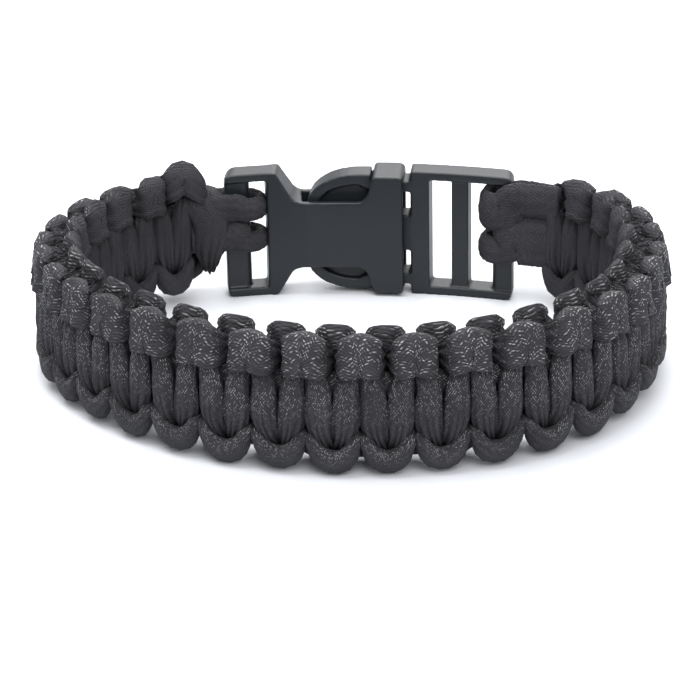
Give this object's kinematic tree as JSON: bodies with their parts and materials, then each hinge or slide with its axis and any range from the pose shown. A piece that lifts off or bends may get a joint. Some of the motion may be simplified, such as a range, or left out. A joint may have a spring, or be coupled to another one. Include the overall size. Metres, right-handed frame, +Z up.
{
  "type": "paracord bracelet",
  "caption": "Wrist bracelet of flat cobra-woven nylon cord, closed by a curved side-release buckle that the cord's ends loop round.",
  "frame": {"origin": "floor level, under the middle of the bracelet as it stands on its edge", "axes": "+X along the buckle from the socket to the plug, +Y from the wrist hollow out through the buckle, +Z up across the band's width"},
  "size_m": [0.0998, 0.0762, 0.0241],
  "materials": {
    "cord": "matte braided nylon, charcoal black",
    "buckle": "satin moulded acetal, blue black"
  },
  "bodies": {
    "root": {"cobra_weave": "cord", "socket_loop_lower": "cord", "socket_loop_upper": "cord", "plug_loop_lower": "cord", "plug_loop_upper": "cord", "buckle_socket": "buckle", "buckle_plug": "buckle"}
  },
  "joints": []
}
